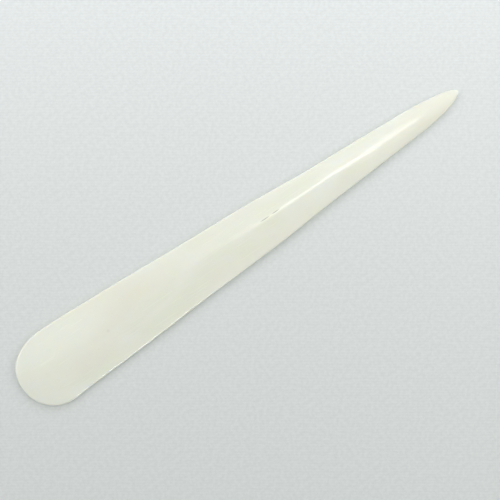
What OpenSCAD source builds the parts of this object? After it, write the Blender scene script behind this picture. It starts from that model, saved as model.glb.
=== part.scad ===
// Bone folder: one hand-carved blade for creasing, scoring and burnishing paper.
// The blade lies along X on its flat underside, with the point towards +X.
// The origin is on the underside, halfway along the length and the width.

/* [Outline] */
// Overall length, from the round end to the point
blade_l = 203; // [160:1:250]
// Greatest width, across the round end
blade_w = 29.5; // [23:0.5:36]
// Width where the pointed tip begins
shoulder_w = 10.4; // [8:0.2:14]
// Length of the pointed tip
tip_l = 20; // [14:0.5:32]
// Angle to the length at which each side leaves the round end
round_side_angle = 2.1; // [0:0.1:4]
// Angle to the length at which each side meets the pointed tip
tip_side_angle = 3.5; // [2:0.1:5]

/* [Thickness] */
// Thickness on the centre line at the middle of the round end
round_t = 2.8; // [2.4:0.1:4]
// Thickness on the centre line where the blade is thickest
crest_t = 4.2; // [3.6:0.1:6]
// Distance of the thickest place back from the point
crest_back = 63; // [45:1:80]
// Thickness on the centre line where the pointed tip begins
shoulder_t = 3.4; // [3:0.1:4.4]
// Thickness of the rim around the round end
round_rim_t = 1.7; // [1.2:0.1:2.2]
// Thickness of the rim beside the thickest place
crest_rim_t = 2.3; // [1.6:0.1:2.8]
// Thickness of the rim at the very point
point_rim_t = 1.5; // [1:0.1:2]

/* [Crown and edges] */
// Length of the full ridge, back from the point
ridge_l = 95; // [60:1:110]
// Length over which the ridge fades out into the flat crown
ridge_fade_l = 56; // [30:1:75]
// Roundness of the ridge: half its rounded width, as a share of the half width
ridge_share = 0.08; // [0.06:0.01:0.4]
// The same roundness at the very point, where the ridge has softened away
point_share = 5; // [2:0.5:6]
// How far in from the outline the rounding of the rim reaches
rim_round = 0.8; // [0.5:0.1:1.5]
// Depth rubbed off the underside to leave it flat
rub_depth = 0.12; // [0.05:0.01:0.25]

/* [Smoothness] */
// Sections around the round end
round_steps = 14; // [10:1:24]
// Sections along the two long sides
side_steps = 52; // [30:1:80]
// Sections along the pointed tip
tip_steps = 16; // [10:1:24]
// Facets across the crown
crown_steps = 14; // [8:2:24]
// Facets around each quarter of the rim
rim_steps = 4; // [3:1:6]

/* [Hidden] */

bone_colour = [0.91, 0.9, 0.83];
round_r = blade_w / 2;
shoulder_r = shoulder_w / 2;
tip_x = blade_l - tip_l;
crest_x = blade_l - crest_back;
ridge_full_x = blade_l - ridge_l;
// where the round end runs into the sides, and the half width there
side_x = round_r * (1 + sin(round_side_angle));
side_r = round_r * cos(round_side_angle);
side_l = tip_x - side_x;
// roundness of the flat crown near the round end, in half widths
flat_share = 3;
// half the step used to take a slope
slope_step = 0.01;
// keeps the distance to the outline from dividing by nothing on the centre line
tiny = 0.001;
// how far the block that trims the underside stands clear of the blade
trim_gap = 1;

function ease(t) = let (u = min(1, max(0, t))) u * u * (3 - 2 * u);
function across(t, a, b) = a + (b - a) * ease(t);

// half width of the side curve: a cubic from the round end to the tip, straight after that
function side(x) =
    x > tip_x ? shoulder_r - tan(tip_side_angle) * (x - tip_x) :
    let (t = (x - side_x) / side_l)
    side_r * (2 * pow(t, 3) - 3 * pow(t, 2) + 1)
    + shoulder_r * (3 * pow(t, 2) - 2 * pow(t, 3))
    - tan(round_side_angle) * side_l * (pow(t, 3) - 2 * pow(t, 2) + t)
    - tan(tip_side_angle) * side_l * (pow(t, 3) - pow(t, 2));

// square of the half width of the finished outline
function half_sq(x) =
    x < side_x ? pow(round_r, 2) - pow(round_r - x, 2) :
    pow(side(x), 2) * (x > tip_x ? 1 - pow((x - tip_x) / tip_l, 2) : 1);
function half(x) = sqrt(max(0, half_sq(x)));

// distance from a point inside the outline to the outline
function inset(x, y) =
    let (pull = (half_sq(x + slope_step) - half_sq(x - slope_step)) / (4 * slope_step))
    let (gap = half_sq(x) - pow(y, 2))
    gap <= 0 ? 0 : gap / (2 * norm([pull, y]) + tiny);

// thickness on the centre line and at the rim, before the ends are drawn down
function centre_t(x) =
    x < crest_x ? across((x - round_r) / (crest_x - round_r), round_t, crest_t) :
    across((x - crest_x) / (tip_x - crest_x), crest_t, shoulder_t);
function rim_t(x) =
    x < crest_x ? across((x - round_r) / (crest_x - round_r), round_rim_t, crest_rim_t) :
    across((x - crest_x) / (blade_l - crest_x), crest_rim_t, point_rim_t);

// how far the ends draw the crown down: 1 along the sides, 0 at each end
function end_draw(x) =
    x < round_r ? 1 - pow(1 - x / round_r, 2) :
    x > tip_x ? 1 - pow((x - tip_x) / tip_l, 2) : 1;

// roundness of the crown: flat near the round end, a ridge in the narrow half, softer at the point
function softness(x) =
    let (past = x - ridge_full_x)
    past < 0 ? flat_share * pow(ridge_share / flat_share, ease(1 + past / ridge_fade_l)) :
    ridge_share * pow(point_share / ridge_share, ease(past / ridge_l));

// crown height for y as a share s of the half width: 1 in the middle, 0 at the rim
function crown(x, s) =
    let (soft = softness(x))
    (norm([1, soft]) - norm([s, soft])) / (norm([1, soft]) - soft);

// quarter-ellipse rounding of the rim: 0 at the outline, 1 from rim_round inwards
function rim_rise(x, y) = sqrt(1 - pow(1 - min(1, inset(x, y) / rim_round), 2));

function top_z(x, y) =
    rim_t(x) / 2 * (1 + rim_rise(x, y))
    + (centre_t(x) - rim_t(x)) * end_draw(x) * crown(x, y / half(x));
function bottom_z(x, y) =
    rim_t(x) / 2 - (rim_t(x) / 2 + rub_depth) * rim_rise(x, y);

// places along the length, closer together towards each end
stations = concat(
    [for (i = [1:round_steps]) round_r * (1 - cos(90 * i / round_steps))],
    [for (i = [0:side_steps]) side_x + side_l * i / side_steps],
    [for (i = [1:tip_steps - 1]) tip_x + tip_l * sin(90 * i / tip_steps)]);

// places across one half, from the rim to the start of the crown
function rim_y(x) =
    let (r = min(rim_round, half(x) / 2))
    [for (i = [0:rim_steps]) half(x) - r * (1 - cos(90 * i / rim_steps))];
function crown_y(x) =
    let (inner = half(x) - min(rim_round, half(x) / 2))
    [for (i = [1:crown_steps - 1]) inner * (1 - 2 * i / crown_steps)];
function mirrored(list) = [for (i = [len(list) - 1:-1:0]) -list[i]];

// one closed section: over the top from +Y to -Y, then back along the underside
function section(x) =
    let (rim = rim_y(x))
    let (over = concat(rim, crown_y(x), mirrored(rim)))
    let (under = concat([for (i = [1:rim_steps]) -rim[i]], [0], [for (i = [rim_steps:-1:1]) rim[i]]))
    concat(
        [for (y = over) [x, y, top_z(x, y)]],
        [for (y = under) [x, y, bottom_z(x, y)]]);

module blade_body() {
    rings = [for (x = stations) section(x)];
    n = len(rings[0]);
    last = len(rings) - 1;
    start = [0, 0, rim_t(0) / 2];
    end = [blade_l, 0, rim_t(blade_l) / 2];
    points = concat([start], [for (ring = rings) for (p = ring) p], [end]);
    end_i = len(points) - 1;
    faces = concat(
        [for (i = [0:n - 1]) [0, 1 + i, 1 + (i + 1) % n]],
        [for (k = [0:last - 1]) for (i = [0:n - 1])
            let (a = 1 + k * n + i)
            let (b = 1 + k * n + (i + 1) % n)
            each [[a, a + n, b], [b, a + n, b + n]]],
        [for (i = [0:n - 1]) [end_i, end_i - n + (i + 1) % n, end_i - n + i]]);
    polyhedron(points, faces);
}

module bone_blade() {
    color(bone_colour)
    translate([-blade_l / 2, 0, 0])
    intersection() {
        blade_body();
        // everything above the flat underside
        translate([-trim_gap, -blade_w / 2 - trim_gap, 0])
            cube([blade_l + 2 * trim_gap, blade_w + 2 * trim_gap, crest_t + trim_gap]);
    }
}

bone_blade();
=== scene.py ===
import math

import bpy
import numpy as np
from mathutils import Matrix, Vector


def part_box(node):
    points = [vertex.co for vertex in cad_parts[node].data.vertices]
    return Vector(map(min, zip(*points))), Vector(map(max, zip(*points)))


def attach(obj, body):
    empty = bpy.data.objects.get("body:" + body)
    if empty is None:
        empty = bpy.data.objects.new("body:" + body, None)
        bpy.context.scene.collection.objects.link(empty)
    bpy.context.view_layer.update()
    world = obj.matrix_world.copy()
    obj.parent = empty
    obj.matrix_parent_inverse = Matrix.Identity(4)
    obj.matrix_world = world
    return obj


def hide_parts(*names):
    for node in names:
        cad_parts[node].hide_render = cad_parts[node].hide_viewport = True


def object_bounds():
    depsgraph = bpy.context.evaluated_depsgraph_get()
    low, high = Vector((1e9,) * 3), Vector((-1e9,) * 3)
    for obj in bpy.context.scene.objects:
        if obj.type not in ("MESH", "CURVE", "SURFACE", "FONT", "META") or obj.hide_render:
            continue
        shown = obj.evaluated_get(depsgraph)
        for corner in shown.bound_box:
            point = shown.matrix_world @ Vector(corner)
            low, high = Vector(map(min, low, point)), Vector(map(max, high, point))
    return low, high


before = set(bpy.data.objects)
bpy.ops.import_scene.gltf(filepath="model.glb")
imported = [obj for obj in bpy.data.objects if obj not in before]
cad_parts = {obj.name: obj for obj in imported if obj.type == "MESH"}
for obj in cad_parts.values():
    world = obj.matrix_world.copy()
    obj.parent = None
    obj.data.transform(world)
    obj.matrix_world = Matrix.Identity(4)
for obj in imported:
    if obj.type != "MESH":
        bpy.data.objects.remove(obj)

cadLow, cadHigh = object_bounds()
mm = 0.001

# the carved blade; its length, width and greatest thickness come from the blade part in model.glb
bladeShape = {
    "shoulderW": 10.4,       # mm, width where the pointed tip begins
    "tipL": 20.0,            # mm, length of the pointed tip
    "roundSideAngle": 2.1,   # degrees, sides leaving the round end
    "tipSideAngle": 3.5,     # degrees, sides meeting the tip
    "roundT": 2.8,           # mm, thickness at the middle of the round end
    "crestBack": 63.0,       # mm, thickest place, back from the point
    "shoulderT": 3.4,        # mm, thickness where the tip begins
    "roundRimT": 1.7,        # mm, rim around the round end
    "crestRimT": 2.3,        # mm, rim beside the crest
    "pointRimT": 1.5,        # mm, rim at the very point
    "ridgeL": 95.0,          # mm, full ridge, back from the point
    "ridgeFadeL": 56.0,      # mm, ridge fading into the flat crown
    "ridgeShare": 0.08,      # ridge roundness, share of the half width
    "pointShare": 5.0,       # the same at the very point
    "flatShare": 3.0,        # the same for the flat crown
    "rimRound": 0.8,         # mm, reach of the rim rounding
    "rubDepth": 0.12,        # mm rubbed off the underside
    "slopeStep": 0.01,       # mm, half the step used to take a slope
    "tiny": 0.001,           # keeps the distance to the outline from dividing by nothing
    "roundRings": 70,        # mesh rings around the round end
    "sideRings": 300,        # mesh rings along the sides
    "tipRings": 60,          # mesh rings along the tip
    "crownCuts": 72,         # mesh columns over the crown
    "rimCuts": 9,            # mesh columns round each quarter of the rim
    "underCuts": 16,         # mesh columns across the underside
}

# what the file and the scraper left behind; places are in mm from the round end
handWork = {
    "sideWaver": 0.12,       # mm, how far the filed sides wander
    "slowWaver": (33.0, 1.0, 0.6),   # mm a radian, start, share of the wander
    "quickWaver": (15.0, 2.4, 0.4),
    "endSkew": 0.7,          # mm, round end leaning to one side
    "endSkewAt": 9.0,        # where it leans most
    "endSkewReach": 8.0,     # mm either way
    "endBlunt": 0.25,        # mm, round end filed a little square
    "bluntReach": 4.0,       # mm
    "tipSkew": 0.3,          # mm, point turned to the other side
    "tipTurn": 16.0,         # mm, length over which it turns
    "tipTurnPower": 1.5,     # above 1 it turns more and more towards the point
    # where the sides are filed thin: place, mm either way, mm off each side; below 0 they are left full
    "filed": ((9.5, 5.0, 0.22), (76.0, 16.0, 0.22), (114.0, 14.0, -0.18), (139.0, 16.0, 0.22),
              (197.5, 4.0, -0.12)),
    "leastHalf": 2.0,        # mm, half width below which the filing eases off
    "ridgeOff": 0.08,        # ridge off the centre line, share of the half width
    "ridgeLead": (105.0, 25.0),      # twice as far off before this place; mm over which it comes in
    "ridgeCross": (143.0, 18.0),     # wanders to the other side from here; mm over which it does
    "faceting": 0.035,       # mm, depth of the long scraped facets
    "faceCount": 5.0,        # scraped facets across the crown
    "faceDrift": 0.12,       # how far they wander sideways, share of the half width
    "slowDrift": (37.0, 0.7, 0.5),   # mm a radian, start, share
    "quickDrift": (17.0, 2.1, 0.3),
    "faceSway": (29.0, 0.6),         # mm a radian, radians either way
    "fineCount": 28.8,       # finer facets between them, radians from the middle to a side
    "fineStart": 0.4,        # radians
    "fineSway": (23.0, 1.3),         # mm a radian, radians either way
    "fineShare": 0.35,       # their depth beside the others
    "faceCalm": 0.35,        # how much of the facets is left beside the ridge
    "calmFrom": 85.0,        # where they start to calm down
    "calmOver": 40.0,        # mm over which they do
    "underWork": 0.03,       # mm, hollows left on the underside
    "hollowAlong": (11.0, 31.0),     # mm a radian along the blade, for the two ways they run
    "hollowAcross": (3.1, 5.3),      # and across it
    "hollowInset": (1.2, 2.5),       # mm in from the outline where they start, mm to full depth
    "underSoft": 0.02,       # mm, softness of the edge where the rub ends
}


def ease(t):
    u = np.clip(t, 0, 1)
    return u * u * (3 - 2 * u)


def across(t, a, b):
    return a + (b - a) * ease(t)


def wander(x, wave):
    pace, start, share = wave
    return share * np.sin(x / pace + start)


class BladeForm:
    # the carved form in millimetres, x counted from the round end
    def __init__(self, shape, hand, length, width, height):
        self.s = shape
        self.h = hand
        self.length = length
        self.crestT = height
        self.roundR = width / 2
        self.shoulderR = shape["shoulderW"] / 2
        self.tipX = length - shape["tipL"]
        self.crestX = length - shape["crestBack"]
        self.ridgeFullX = length - shape["ridgeL"]
        lead = math.radians(shape["roundSideAngle"])
        self.sideX = self.roundR * (1 + math.sin(lead))
        self.sideR = self.roundR * math.cos(lead)
        self.sideL = self.tipX - self.sideX
        self.leadSlope = math.tan(lead)
        self.tailSlope = math.tan(math.radians(shape["tipSideAngle"]))

    def side(self, x):
        # half width of the sides: a cubic as far as the tip, straight after that
        t = (x - self.sideX) / self.sideL
        curve = (self.sideR * (2 * t**3 - 3 * t**2 + 1)
                 + self.shoulderR * (3 * t**2 - 2 * t**3)
                 - self.leadSlope * self.sideL * (t**3 - 2 * t**2 + t)
                 - self.tailSlope * self.sideL * (t**3 - t**2))
        return np.where(x > self.tipX, self.shoulderR - self.tailSlope * (x - self.tipX), curve)

    def halfSq(self, x):
        # square of the half width of the whole outline
        cap = self.roundR**2 - (self.roundR - x)**2
        tipDraw = np.where(x > self.tipX, 1 - ((x - self.tipX) / self.s["tipL"])**2, 1)
        return np.where(x < self.sideX, cap, self.side(x)**2 * tipDraw)

    def half(self, x):
        return np.sqrt(np.maximum(0, self.halfSq(x)))

    def inset(self, x, y):
        # distance from a point to the outline
        step = self.s["slopeStep"]
        pull = (self.halfSq(x + step) - self.halfSq(x - step)) / (4 * step)
        gap = np.maximum(0, self.halfSq(x) - y**2)
        return gap / (2 * np.hypot(pull, y) + self.s["tiny"])

    def centreT(self, x):
        s = self.s
        rise = across((x - self.roundR) / (self.crestX - self.roundR), s["roundT"], self.crestT)
        fall = across((x - self.crestX) / (self.tipX - self.crestX), self.crestT, s["shoulderT"])
        return np.where(x < self.crestX, rise, fall)

    def rimT(self, x):
        s = self.s
        rise = across((x - self.roundR) / (self.crestX - self.roundR), s["roundRimT"], s["crestRimT"])
        fall = across((x - self.crestX) / (self.length - self.crestX), s["crestRimT"], s["pointRimT"])
        return np.where(x < self.crestX, rise, fall)

    def endDraw(self, x):
        # both ends draw the crown down: 1 along the sides, 0 at each end
        roundDraw = np.where(x < self.roundR, 1 - (1 - x / self.roundR)**2, 1)
        return np.where(x > self.tipX, 1 - ((x - self.tipX) / self.s["tipL"])**2, roundDraw)

    def crown(self, x, share):
        # 1 on the centre line, 0 at the rim: nearly flat, then a ridge, softer again at the point
        s = self.s
        past = x - self.ridgeFullX
        sharpen = s["flatShare"] * (s["ridgeShare"] / s["flatShare"])**ease(1 + past / s["ridgeFadeL"])
        relax = s["ridgeShare"] * (s["pointShare"] / s["ridgeShare"])**ease(past / s["ridgeL"])
        soft = np.where(past < 0, sharpen, relax)
        return (np.hypot(1, soft) - np.hypot(share, soft)) / (np.hypot(1, soft) - soft)

    def rimRise(self, x, y):
        # quarter-ellipse rounding of the rim: 0 at the outline, 1 from rimRound inwards
        return np.sqrt(1 - (1 - np.minimum(1, self.inset(x, y) / self.s["rimRound"]))**2)

    def facets(self, x, share):
        # long shallow scrape facets that drift along the blade and die out at the rim
        h = self.h
        drift = wander(x, h["slowDrift"]) + wander(x, h["quickDrift"])
        facePace, faceSway = h["faceSway"]
        finePace, fineSway = h["fineSway"]
        turns = h["faceCount"] * math.pi * (share + h["faceDrift"] * drift)
        wave = np.sin(turns + faceSway * np.sin(x / facePace))
        fine = np.sin(h["fineCount"] * share + fineSway * np.sin(x / finePace) + h["fineStart"])
        calm = across((x - h["calmFrom"]) / h["calmOver"], 1.0, h["faceCalm"])
        depth = h["faceting"] * calm * (1 + wave + h["fineShare"] * fine) / 2
        return -depth * (1 - share**4) * self.endDraw(x)

    def ridgeDrift(self, x):
        # how far the scraped ridge sits off the centre line, as a share of the half width
        h = self.h
        leadAt, leadOver = h["ridgeLead"]
        crossAt, crossOver = h["ridgeCross"]
        return h["ridgeOff"] * (1 + ease((leadAt - x) / leadOver) - 2 * ease((x - crossAt) / crossOver))

    def topZ(self, x, y):
        share = y / self.half(x)
        off = self.ridgeDrift(x)
        crown = self.crown(x, (share - off) / (1 - off * share))
        rim = self.rimT(x) / 2 * (1 + self.rimRise(x, y))
        lift = (self.centreT(x) - self.rimT(x)) * self.endDraw(x) * crown
        return rim + lift + self.facets(x, share)

    def bottomZ(self, x, y):
        h = self.h
        z = self.rimT(x) / 2 - (self.rimT(x) / 2 + self.s["rubDepth"]) * self.rimRise(x, y)
        oneWay = np.sin(x / h["hollowAlong"][0] + y / h["hollowAcross"][0])
        otherWay = np.sin(x / h["hollowAlong"][1] - y / h["hollowAcross"][1])
        hollow = h["underWork"] * (1 + oneWay * otherWay) / 2
        start, over = h["hollowInset"]
        inside = ease((self.inset(x, y) - start) / over)
        return (z + np.hypot(z, h["underSoft"])) / 2 + hollow * inside

    def lean(self, x):
        # sideways drift of the centre line: the filed outline is not a perfect mirror
        h = self.h
        endPart = -h["endSkew"] * np.exp(-((x - h["endSkewAt"]) / h["endSkewReach"])**2)
        tipPart = h["tipSkew"] * np.clip(1 - (self.length - x) / h["tipTurn"], 0, 1)**h["tipTurnPower"]
        waver = h["sideWaver"] * (wander(x, h["slowWaver"]) + wander(x, h["quickWaver"]))
        return endPart + tipPart + waver * self.endDraw(x)

    def swell(self, x):
        # the sides are filed a little thin in some places and left full in others
        h = self.h
        bites = sum(bite * np.exp(-((x - place) / reach)**2) for place, reach, bite in h["filed"])
        blunt = h["endBlunt"] * np.exp(-(x / h["bluntReach"])**2)
        return 1 + (blunt - bites) / np.maximum(self.half(x), h["leastHalf"])


def quarterTurn(cuts):
    return np.linspace(0, math.pi / 2, cuts + 1)


def bladeRing(form, x):
    # one closed section: over the top from one side to the other, then back underneath
    s = form.s
    half = form.half(x)
    reach = min(s["rimRound"], half / 2)
    rim = half - reach * (1 - np.cos(quarterTurn(s["rimCuts"])))
    inner = half - reach
    crownCut = np.linspace(1, -1, s["crownCuts"] + 1)[1:-1]
    underCut = np.linspace(-1, 1, s["underCuts"] + 1)[1:-1]
    over = np.concatenate([rim, inner * crownCut, -rim[::-1]])
    under = np.concatenate([-rim[1:], inner * underCut, rim[:0:-1]])
    z = np.concatenate([form.topZ(x, over), form.bottomZ(x, under)])
    y = np.concatenate([over, under]) * form.swell(x) + form.lean(x)
    return [(float(x), float(a), float(b)) for a, b in zip(y, z)]


def bladeMesh(form):
    s = form.s
    roundX = form.roundR * (1 - np.cos(quarterTurn(s["roundRings"])[1:]))
    sideX = np.linspace(form.roundR, form.tipX, s["sideRings"] + 1)[1:]
    tipX = form.tipX + s["tipL"] * np.sin(quarterTurn(s["tipRings"])[1:-1])
    rings = [bladeRing(form, x) for x in np.concatenate([roundX, sideX, tipX])]
    start, end = [(x, float(form.lean(x)), float(form.rimT(x)) / 2) for x in (0.0, form.length)]
    verts = [start] + [v for ring in rings for v in ring] + [end]
    count = len(rings[0])
    last = len(verts) - 1
    faces = []
    for i in range(count):
        j = (i + 1) % count
        faces.append((0, 1 + j, 1 + i))
        for k in range(len(rings) - 1):
            a = 1 + k * count
            faces.append((a + i, a + j, a + count + j, a + count + i))
        faces.append((last - count + i, last - count + j, last))
    return verts, faces


def makeBlade():
    low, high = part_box("bone_blade")
    size = (Vector(high) - Vector(low)) / mm
    form = BladeForm(bladeShape, handWork, size.x, size.y, size.z)
    verts, faces = bladeMesh(form)
    place = Vector((low[0], (low[1] + high[1]) / 2, low[2]))
    mesh = bpy.data.meshes.new("boneBlade")
    mesh.from_pydata([place + Vector(v) * mm for v in verts], [], faces)
    mesh.validate()
    mesh.shade_smooth()
    blade = bpy.data.objects.new("boneBlade", mesh)
    bpy.context.collection.objects.link(blade)
    return blade


boneLook = {
    "cream": (0.832, 0.845, 0.725, 1),
    "pale": (0.86, 0.865, 0.78, 1),
    "warm": (0.83, 0.805, 0.69, 1),
    # painted light: a lighter tone for the upper side of the round end, where the light falls on it
    "paintedLitTone": (0.885, 0.90, 0.80, 1),
    "fleck": (0.56, 0.54, 0.45, 1),
    "nick": (0.30, 0.29, 0.25, 1),
    # noise: scale per metre along, across and through, then detail, roughness and warp
    "grain": ((55, 2300, 2300), 4, 0.6, 0.2),
    # mottles: the same, then the two noise values between which the mottle comes in
    "clouds": ((38, 90, 90), 3, 0.5, 0.6, 0.35, 0.68),
    "warmClouds": ((17, 60, 60), 2, 0.5, 0.3, 0.4, 0.7),
    "scraper": ((90, 1500, 1500), 2, 0.5, 0.0, 0.5, 0.66),
    "pores": ((420, 5200, 5200), 2, 0.5, 0.0, 0.66, 0.76),
    "poreZone": ((60, 210, 210), 2, 0.5, 0.0, 0.46, 0.62),
    # spots: x, y, reach along, reach across, in mm from the middle of the blade
    "warmSpot": (-72.0, -7.0, 16.0, 6.0),
    "paleStreak": (-37.0, -3.9, 17.0, 1.6),
    # painted light: where the upper side of the round end is made lighter
    "paintedLitEnd": (-81.0, 7.5, 38.0, 11.0),
    "scrape": (-56.0, -5.6, 10.0, 3.4),
    "speck": (-61.4, -0.5, 0.9, 0.8),
    "nicks": ((12.4, 1.25, 3.0, 0.26), (17.3, 1.3, 2.6, 0.26)),
    "paleTurn": 0.11,        # radians, pale streak off the length
    # how strongly each one colours the bone
    "warmCloudDepth": 0.6,
    "warmSpotDepth": 0.5,
    "paleDepth": 0.5,
    # strength of the painted light on the round end
    "paintedLitDepth": 0.9,
    "grainDepth": 0.03,
    "scrapeDepth": 0.12,
    "poreDepth": 0.25,
    "speckDepth": 0.2,
    "nickDepth": 0.8,
    "grainShows": (0.56, 0.78),      # grain noise where the colour shows it, from none to all
    "roughness": 0.19,
    "grainRuns": (0.3, 0.75),        # grain noise from the smoothest lines to the roughest
    "grainPolish": (-0.05, 0.09),    # what those add to the roughness
    "cloudPolish": (0.03, -0.02),    # what cream and pale bone add to it
    "nickRoughness": 0.5,            # what a nick adds to it
    "bump": 0.0014 * mm,     # height of the grain
    "scrapeBump": 0.6,       # depth of the scraper lines against the grain
    "subsurface": 0.8,
    "lightDepth": 2.2 * mm,  # how far light travels inside
    "lightShares": (1.0, 0.86, 0.62),    # red light goes further than blue
    "ior": 1.54,
    "coat": 0.5,             # the hand polish
    "coatRoughness": 0.06,
}


class NodeBench:
    # short names for building a material
    def __init__(self, name):
        self.mat = bpy.data.materials.new(name)
        self.mat.use_nodes = True
        self.nodes = self.mat.node_tree.nodes
        self.links = self.mat.node_tree.links
        self.nodes.clear()
        out = self.add("ShaderNodeOutputMaterial")
        self.skin = self.add("ShaderNodeBsdfPrincipled")
        self.links.new(self.skin.outputs[0], out.inputs["Surface"])
        self.where = self.add("ShaderNodeTexCoord").outputs["Object"]

    def add(self, kind, **values):
        node = self.nodes.new(kind)
        for key, value in values.items():
            setattr(node, key, value)
        return node

    def feed(self, socket, value):
        if hasattr(value, "is_output"):
            self.links.new(value, socket)
        else:
            socket.default_value = value

    def fill(self, node, **values):
        for key, value in values.items():
            node.inputs[key].default_value = value

    def noise(self, scale, detail, rough, warp):
        spread = self.add("ShaderNodeMapping")
        self.feed(spread.inputs["Vector"], self.where)
        self.fill(spread, Scale=scale)
        node = self.add("ShaderNodeTexNoise")
        self.feed(node.inputs["Vector"], spread.outputs["Vector"])
        self.fill(node, Scale=1.0, Detail=detail, Roughness=rough, Distortion=warp)
        return node.outputs["Fac"]

    def span(self, value, low, high, toLow=0.0, toHigh=1.0):
        node = self.add("ShaderNodeMapRange", interpolation_type="SMOOTHSTEP")
        self.feed(node.inputs["Value"], value)
        node.inputs["From Min"].default_value = low
        node.inputs["From Max"].default_value = high
        node.inputs["To Min"].default_value = toLow
        node.inputs["To Max"].default_value = toHigh
        return node.outputs["Result"]

    def mottle(self, scale, detail, rough, warp, low, high, depth=1.0):
        return self.span(self.noise(scale, detail, rough, warp), low, high, 0.0, depth)

    def spot(self, x, y, along, reach, turn=0.0):
        # 1 at one place on the blade, fading to 0 at its reach
        node = self.add("ShaderNodeMapping", vector_type="TEXTURE")
        self.feed(node.inputs["Vector"], self.where)
        self.fill(node, Location=(x * mm, y * mm, 0), Rotation=(0, 0, turn))
        self.fill(node, Scale=(along * mm, reach * mm, 1))
        size = self.add("ShaderNodeVectorMath", operation="LENGTH")
        self.feed(size.inputs[0], node.outputs["Vector"])
        return self.span(size.outputs["Value"], 0.2, 1.0, 1.0, 0.0)

    def sums(self, kind, a, b):
        node = self.add("ShaderNodeMath", operation=kind)
        self.feed(node.inputs[0], a)
        self.feed(node.inputs[1], b)
        return node.outputs[0]

    def blend(self, share, a, b):
        # colour a where share is 0, colour b where it is 1
        node = self.add("ShaderNodeMix", data_type="RGBA")
        self.feed(node.inputs["Factor"], share)
        self.feed(node.inputs[6], a)
        self.feed(node.inputs[7], b)
        return node.outputs[2]

    def stain(self, colour, share, depth, over):
        # lays a colour over another one where share is 1, as strongly as depth says
        return self.blend(self.sums("MULTIPLY", share, depth), colour, over)

    def bump(self, height, depth):
        node = self.add("ShaderNodeBump")
        self.feed(node.inputs["Height"], height)
        self.fill(node, Strength=1.0, Distance=depth)
        return node.outputs["Normal"]


def makeBone():
    look = boneLook
    b = NodeBench("polishedBone")
    grain = b.noise(*look["grain"])
    clouds = b.mottle(*look["clouds"])
    warmClouds = b.mottle(*look["warmClouds"])
    scraped = b.sums("MULTIPLY", b.mottle(*look["scraper"]), b.spot(*look["scrape"]))
    pores = b.mottle(*look["pores"], look["poreDepth"])
    poreZone = b.mottle(*look["poreZone"])
    nicks = b.sums("MAXIMUM", *[b.spot(*nick) for nick in look["nicks"]])
    colour = b.blend(clouds, look["cream"], look["pale"])
    colour = b.stain(colour, warmClouds, look["warmCloudDepth"], look["warm"])
    colour = b.stain(colour, b.spot(*look["warmSpot"]), look["warmSpotDepth"], look["warm"])
    colour = b.stain(colour, b.spot(*look["paleStreak"], look["paleTurn"]), look["paleDepth"], look["pale"])
    # painted light: lightens the upper side of the round end, as the light falling there would
    colour = b.stain(colour, b.spot(*look["paintedLitEnd"]), look["paintedLitDepth"], look["paintedLitTone"])
    colour = b.blend(b.span(grain, *look["grainShows"], 0.0, look["grainDepth"]), colour, look["fleck"])
    colour = b.stain(colour, scraped, look["scrapeDepth"], look["fleck"])
    colour = b.stain(colour, pores, poreZone, look["fleck"])
    colour = b.stain(colour, b.spot(*look["speck"]), look["speckDepth"], look["fleck"])
    colour = b.stain(colour, nicks, look["nickDepth"], look["nick"])
    b.feed(b.skin.inputs["Base Color"], colour)
    smoothest, roughest = look["grainPolish"]
    rough = b.span(grain, *look["grainRuns"], look["roughness"] + smoothest, look["roughness"] + roughest)
    rough = b.sums("ADD", rough, b.span(clouds, 0.0, 1.0, *look["cloudPolish"]))
    rough = b.sums("ADD", rough, b.sums("MULTIPLY", nicks, look["nickRoughness"]))
    b.feed(b.skin.inputs["Roughness"], rough)
    height = b.sums("SUBTRACT", grain, b.sums("MULTIPLY", scraped, look["scrapeBump"]))
    b.feed(b.skin.inputs["Normal"], b.bump(height, look["bump"]))
    b.skin.inputs["Subsurface Weight"].default_value = look["subsurface"]
    b.skin.inputs["Subsurface Radius"].default_value = look["lightShares"]
    b.skin.inputs["Subsurface Scale"].default_value = look["lightDepth"]
    b.skin.inputs["IOR"].default_value = look["ior"]
    b.skin.inputs["Coat Weight"].default_value = look["coat"]
    b.skin.inputs["Coat Roughness"].default_value = look["coatRoughness"]
    return b.mat


# the frame looks straight down on the blade
view = {
    "lens": 75.0,            # mm
    "sensor": 36.0,          # mm
    "frameWide": 192.2,      # mm, what the frame takes in at the blade
    "axisTurn": 34.15,       # degrees, blade above the horizontal of the frame
    "shiftRight": 3.80,      # mm, frame centre from the blade's centre
    "shiftDown": 3.90,       # mm
    "nearest": 0.01,         # m, what the camera can see
    "furthest": 20.0,        # m
}
frameTurn = math.radians(view["axisTurn"])
frameRight = Vector((math.cos(frameTurn), -math.sin(frameTurn), 0))
frameUp = Vector((math.sin(frameTurn), math.cos(frameTurn), 0))


def makeCamera():
    middle = (Vector(cadLow) + Vector(cadHigh)) / 2
    target = middle + (frameRight * view["shiftRight"] - frameUp * view["shiftDown"]) * mm
    # the frame's width is taken at the middle of the rim
    rimLevel = cadLow[2] + bladeShape["crestRimT"] / 2 * mm
    distance = view["frameWide"] * mm * view["lens"] / view["sensor"]
    data = bpy.data.cameras.new("overhead")
    data.lens = view["lens"]
    data.sensor_width = view["sensor"]
    data.clip_start = view["nearest"]
    data.clip_end = view["furthest"]
    camera = bpy.data.objects.new("overhead", data)
    camera.matrix_world = Matrix((
        (frameRight.x, frameUp.x, 0, target.x),
        (frameRight.y, frameUp.y, 0, target.y),
        (0, 0, 1, rimLevel + distance),
        (0, 0, 0, 1)))
    bpy.context.collection.objects.link(camera)
    bpy.context.scene.camera = camera


roomLook = {
    "colour": (0.91, 0.94, 1.0, 1),
    "strength": 0.43,
}


def makeRoom():
    room = bpy.data.worlds.new("paleRoom")
    room.use_nodes = True
    back = room.node_tree.nodes["Background"]
    back.inputs["Color"].default_value = roomLook["colour"]
    back.inputs["Strength"].default_value = roomLook["strength"]
    bpy.context.scene.world = room


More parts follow.
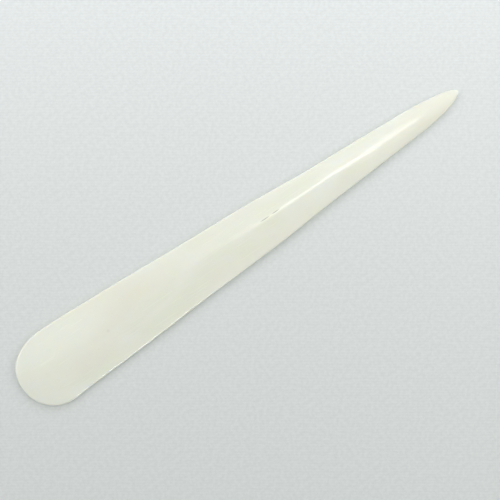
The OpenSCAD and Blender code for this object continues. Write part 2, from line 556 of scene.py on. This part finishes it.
# pale ribbed cloth on a flat floor
floorLook = {
    "size": 4.0,             # m
    "below": 0.02 * mm,      # how far under the blade
    "colour": (0.735, 0.758, 0.746, 1),
    "darkest": 0.91,         # darkest threads against that
    "ribGap": 1.09 * mm,     # from one rib to the next
    "ribWaver": 0.6,
    "ribShare": 0.25,        # ribs against the fuzz on them
    "fuzz": ((700, 700, 700), 3, 0.6, 0.0, 0.3, 0.7),    # a mottle, as for the bone
    "roughness": 0.85,
    "specular": 0.2,
}


def makeFloor():
    look = floorLook
    half = look["size"] / 2
    corners = [(-half, -half, 0), (half, -half, 0), (half, half, 0), (-half, half, 0)]
    mesh = bpy.data.meshes.new("paleFloor")
    mesh.from_pydata(corners, [], [(0, 1, 2, 3)])
    floor = bpy.data.objects.new("paleFloor", mesh)
    floor.location.z = cadLow[2] - look["below"]
    bpy.context.collection.objects.link(floor)
    b = NodeBench("paleCloth")
    turned = b.add("ShaderNodeMapping")
    b.feed(turned.inputs["Vector"], b.where)
    b.fill(turned, Rotation=(0, 0, frameTurn))
    ribs = b.add("ShaderNodeTexWave", wave_type="BANDS", bands_direction="Y", wave_profile="SIN")
    b.feed(ribs.inputs["Vector"], turned.outputs["Vector"])
    bandGap = math.pi / 10   # m, gap of the wave texture's bands at scale 1
    b.fill(ribs, Scale=bandGap / look["ribGap"], Distortion=look["ribWaver"], Detail=1.0)
    ribPart = b.sums("MULTIPLY", ribs.outputs["Fac"], look["ribShare"])
    fuzzPart = b.sums("MULTIPLY", b.mottle(*look["fuzz"]), 1 - look["ribShare"])
    dark = tuple(c * look["darkest"] for c in look["colour"][:3]) + (1,)
    b.feed(b.skin.inputs["Base Color"], b.blend(b.sums("ADD", ribPart, fuzzPart), dark, look["colour"]))
    b.skin.inputs["Roughness"].default_value = look["roughness"]
    b.skin.inputs["Specular IOR Level"].default_value = look["specular"]
    mesh.materials.append(b.mat)


# side: level direction the light comes from; climb: degrees above the horizon; along: way the
# width lies, level if it isn't given; distance and size in m, power in W
lamps = {
    "nearWindow": {
        "side": frameUp, "climb": 35, "distance": 0.23, "size": (0.7, 0.1),
        "power": 0.375, "colour": (0.86, 0.88, 0.95), "gloss": False},
    "overheadSoft": {
        "side": Vector((0.175, 0.18, 0)), "climb": 75, "distance": 0.7, "size": (0.3, 0.3),
        "power": 0.86, "colour": (1.0, 0.985, 0.94), "gloss": False},
    # only makes the long light line on the ridge
    "ridgePane": {
        "side": Vector((0.117, 0.129, 0)), "climb": 75.6, "distance": 0.696, "size": (0.216, 0.21),
        "power": 0.46, "colour": (1.0, 0.99, 0.95), "along": Vector((1, 0, 0)), "diffuse": False},
    "leftFill": {
        "side": -frameRight, "climb": 35, "distance": 0.6, "size": (0.5, 0.3),
        "power": 0.84, "colour": (1.0, 0.98, 0.86)},
    "rightFill": {
        "side": frameRight, "climb": 35, "distance": 0.6, "size": (0.5, 0.3),
        "power": 1.07, "colour": (0.985, 1.0, 0.9), "gloss": False},
    # only makes the light line on the rim of the broad half
    "rimStrip": {
        "side": Vector((-0.21, -0.97, 0)), "climb": 36, "distance": 0.6, "size": (0.15, 0.22),
        "power": 1.0, "colour": (1.0, 1.0, 1.0), "diffuse": False},
}


def makeLamp(name, look):
    rise = math.radians(look["climb"])
    way = look["side"].normalized() * math.cos(rise) + Vector((0, 0, math.sin(rise)))
    lamp = bpy.data.lights.new(name, "AREA")
    lamp.shape = "RECTANGLE"
    lamp.size, lamp.size_y = look["size"]
    lamp.energy = look["power"]
    lamp.color = look["colour"]
    along = look.get("along", Vector((0, 0, 1)).cross(way))
    tall = way.cross(along).normalized()
    wide = tall.cross(way)
    spot = way * look["distance"]
    holder = bpy.data.objects.new(name, lamp)
    holder.matrix_world = Matrix([(wide[i], tall[i], way[i], spot[i]) for i in range(3)] + [(0, 0, 0, 1)])
    holder.visible_glossy = look.get("gloss", True)
    holder.visible_diffuse = look.get("diffuse", True)
    bpy.context.collection.objects.link(holder)


makeCamera()
makeRoom()
print("camera and room ready")

makeFloor()
print("floor ready")

for lampName, lampLook in lamps.items():
    makeLamp(lampName, lampLook)
print("lamps ready:", len(lamps))

blade = makeBlade()
blade.data.materials.append(makeBone())
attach(blade, "root")
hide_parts("bone_blade")
print("blade ready:", len(blade.data.polygons), "faces")

bpy.context.scene.view_settings.view_transform = "Standard"
